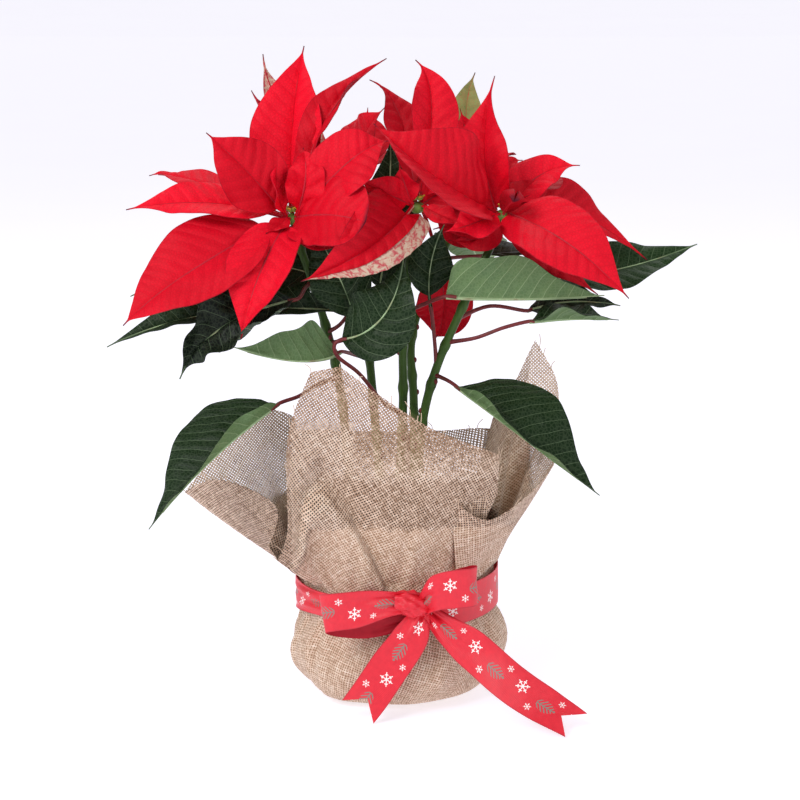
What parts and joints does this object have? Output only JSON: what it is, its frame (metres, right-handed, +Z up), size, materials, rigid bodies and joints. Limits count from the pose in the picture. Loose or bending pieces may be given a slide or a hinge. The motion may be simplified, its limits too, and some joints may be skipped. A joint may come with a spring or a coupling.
{
  "type": "potted poinsettia",
  "caption": "Red poinsettia in a round nursery pot, wrapped in a square of burlap tied round its waist with a bow of red ribbon.",
  "frame": {"origin": "middle of the flat underside of the wrap that the plant stands on, on the pot's axis", "axes": "+Z up along the pot's axis; -Y is the front, where the bow is; +X is the viewer's right"},
  "size_m": [0.3782, 0.2796, 0.4131],
  "materials": {
    "pot": "satin",
    "soil": "rough",
    "burlap": "open weave",
    "ribbon": "satin",
    "stem": "satin",
    "bract": "matte",
    "cyathium": "satin",
    "leaf": "satin"
  },
  "bodies": {
    "root": {"pot": "pot", "soil": "soil", "wrap": "burlap", "ribbon": "ribbon", "stem_left": "stem", "stem_middle": "stem", "stem_right": "stem", "stem_back_left": "stem", "stem_back_right": "stem", "bracts_left": "bract", "bracts_middle": "bract", "bracts_right": "bract", "bracts_back_left": "bract", "bracts_back_right": "bract", "cyathia_left": "cyathium", "cyathia_middle": "cyathium", "cyathia_right": "cyathium", "cyathia_back_left": "cyathium", "cyathia_back_right": "cyathium", "leaf_low_left": "leaf", "leaf_low_right": "leaf", "leaf_under_right": "leaf", "leaf_far_right": "leaf", "leaf_curled_right": "leaf", "leaf_dark_right": "leaf", "leaf_centre": "leaf", "leaf_pale_left": "leaf", "leaf_far_left": "leaf", "leaf_crumpled_left": "leaf", "leaf_inner_left": "leaf", "leaf_front_left": "leaf", "leaf_inner_middle": "leaf", "leaf_inner_right": "leaf", "leaf_back_left_high": "leaf", "leaf_back_middle": "leaf", "leaf_back_right_high": "leaf", "leaf_back_far_right": "leaf", "leaf_back_low": "leaf"}
  },
  "joints": []
}
